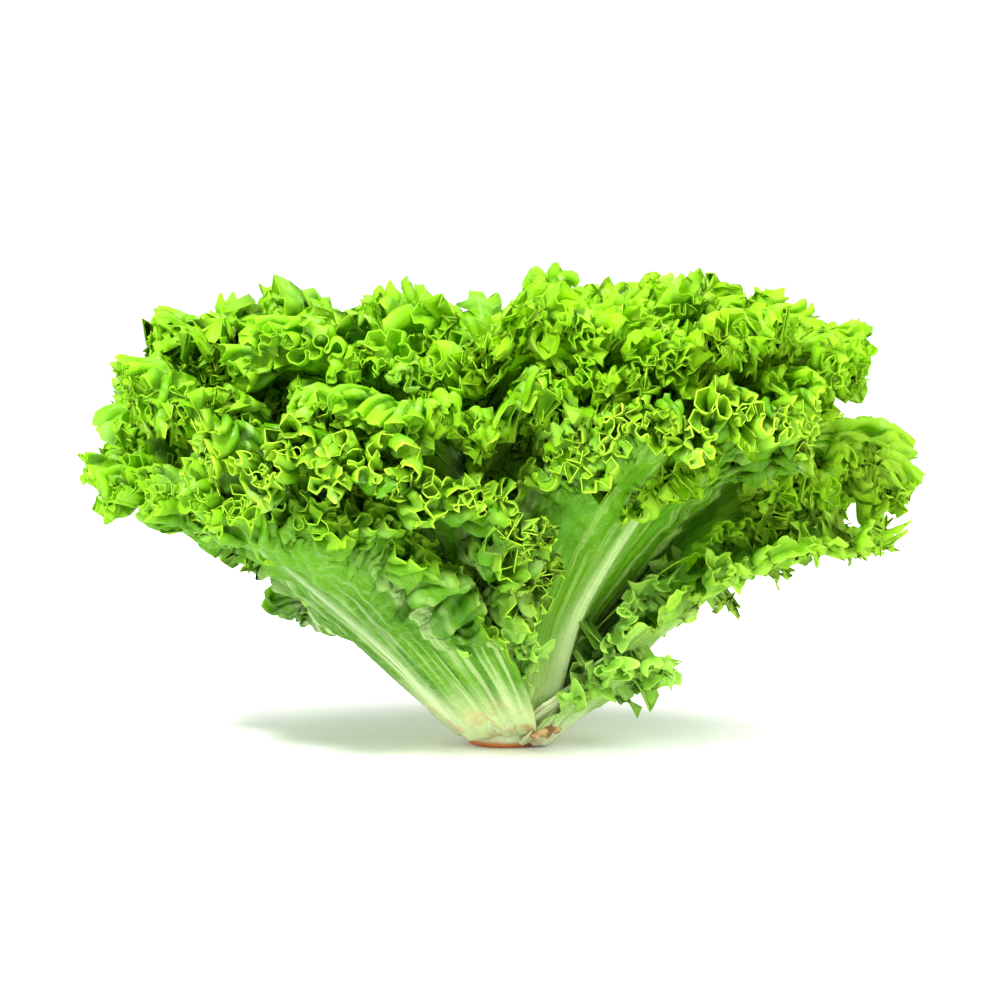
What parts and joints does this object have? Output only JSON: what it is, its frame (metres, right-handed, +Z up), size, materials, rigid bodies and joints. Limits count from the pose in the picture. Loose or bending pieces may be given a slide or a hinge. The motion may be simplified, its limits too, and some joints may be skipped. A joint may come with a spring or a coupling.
{
  "type": "head of leaf lettuce",
  "caption": "Broad head of green frilly leaf lettuce: nested ruffled leaves spreading from a short cut stem, standing on its cut face.",
  "frame": {"origin": "on the surface it stands on, below the middle of the head, at the centre of the cut stem face", "axes": "+Z up out of the cut stem; +X along the crown's widest spread, to the right seen from the front; front towards -Y"},
  "size_m": [0.2928, 0.2067, 0.1587],
  "materials": {
    "stem_flesh": "moist cut stem flesh, pale green with a rust-brown cut",
    "leaf_01_blade": "fresh leaf, satin, paler towards the rib and seat",
    "leaf_02_blade": "fresh leaf, satin, paler towards the rib and seat",
    "leaf_03_blade": "fresh leaf, satin, paler towards the rib and seat",
    "leaf_04_blade": "fresh leaf, satin, paler towards the rib and seat",
    "leaf_05_blade": "fresh leaf, satin, paler towards the rib and seat",
    "leaf_06_blade": "fresh leaf, satin, paler towards the rib and seat",
    "leaf_07_blade": "fresh leaf, satin, paler towards the rib and seat",
    "leaf_08_blade": "fresh leaf, satin, paler towards the rib and seat",
    "leaf_09_blade": "fresh leaf, satin, paler towards the rib and seat",
    "leaf_10_blade": "fresh leaf, satin, paler towards the rib and seat",
    "leaf_11_blade": "fresh leaf, satin, paler towards the rib and seat",
    "leaf_12_blade": "fresh leaf, satin, paler towards the rib and seat",
    "leaf_13_blade": "fresh leaf, satin, paler towards the rib and seat",
    "leaf_14_blade": "fresh leaf, satin, paler towards the rib and seat",
    "leaf_15_blade": "fresh leaf, satin, paler towards the rib and seat",
    "leaf_16_blade": "fresh leaf, satin, paler towards the rib and seat",
    "leaf_17_blade": "fresh leaf, satin, paler towards the rib and seat",
    "leaf_18_blade": "fresh leaf, satin, paler towards the rib and seat",
    "leaf_19_blade": "fresh leaf, satin, paler towards the rib and seat",
    "leaf_20_blade": "fresh leaf, satin, paler towards the rib and seat",
    "leaf_21_blade": "fresh leaf, satin, paler towards the rib and seat",
    "leaf_22_blade": "fresh leaf, satin, paler towards the rib and seat",
    "leaf_23_blade": "fresh leaf, satin, paler towards the rib and seat",
    "leaf_24_blade": "fresh leaf, satin, paler towards the rib and seat",
    "leaf_25_blade": "fresh leaf, satin, paler towards the rib and seat",
    "leaf_26_blade": "fresh leaf, satin, paler towards the rib and seat",
    "leaf_27_blade": "fresh leaf, satin, paler towards the rib and seat",
    "leaf_28_blade": "fresh leaf, satin, paler towards the rib and seat",
    "leaf_29_blade": "fresh leaf, satin, paler towards the rib and seat",
    "leaf_30_blade": "fresh leaf, satin, paler towards the rib and seat",
    "leaf_31_blade": "fresh leaf, satin, paler towards the rib and seat",
    "leaf_32_blade": "fresh leaf, satin, paler towards the rib and seat",
    "leaf_33_blade": "fresh leaf, satin, paler towards the rib and seat",
    "leaf_34_blade": "fresh leaf, satin, paler towards the rib and seat",
    "leaf_35_blade": "fresh leaf, satin, paler towards the rib and seat",
    "leaf_36_blade": "fresh leaf, satin, paler towards the rib and seat",
    "leaf_37_blade": "fresh leaf, satin, paler towards the rib and seat",
    "leaf_38_blade": "fresh leaf, satin, paler towards the rib and seat",
    "leaf_39_blade": "fresh leaf, satin, paler towards the rib and seat",
    "leaf_40_blade": "fresh leaf, satin, paler towards the rib and seat"
  },
  "bodies": {
    "root": {"cut_stem": "stem_flesh", "leaf_01": "leaf_01_blade", "leaf_02": "leaf_02_blade", "leaf_03": "leaf_03_blade", "leaf_04": "leaf_04_blade", "leaf_05": "leaf_05_blade", "leaf_06": "leaf_06_blade", "leaf_07": "leaf_07_blade", "leaf_08": "leaf_08_blade", "leaf_09": "leaf_09_blade", "leaf_10": "leaf_10_blade", "leaf_11": "leaf_11_blade", "leaf_12": "leaf_12_blade", "leaf_13": "leaf_13_blade", "leaf_14": "leaf_14_blade", "leaf_15": "leaf_15_blade", "leaf_16": "leaf_16_blade", "leaf_17": "leaf_17_blade", "leaf_18": "leaf_18_blade", "leaf_19": "leaf_19_blade", "leaf_20": "leaf_20_blade", "leaf_21": "leaf_21_blade", "leaf_22": "leaf_22_blade", "leaf_23": "leaf_23_blade", "leaf_24": "leaf_24_blade", "leaf_25": "leaf_25_blade", "leaf_26": "leaf_26_blade", "leaf_27": "leaf_27_blade", "leaf_28": "leaf_28_blade", "leaf_29": "leaf_29_blade", "leaf_30": "leaf_30_blade", "leaf_31": "leaf_31_blade", "leaf_32": "leaf_32_blade", "leaf_33": "leaf_33_blade", "leaf_34": "leaf_34_blade", "leaf_35": "leaf_35_blade", "leaf_36": "leaf_36_blade", "leaf_37": "leaf_37_blade", "leaf_38": "leaf_38_blade", "leaf_39": "leaf_39_blade", "leaf_40": "leaf_40_blade"}
  },
  "joints": []
}
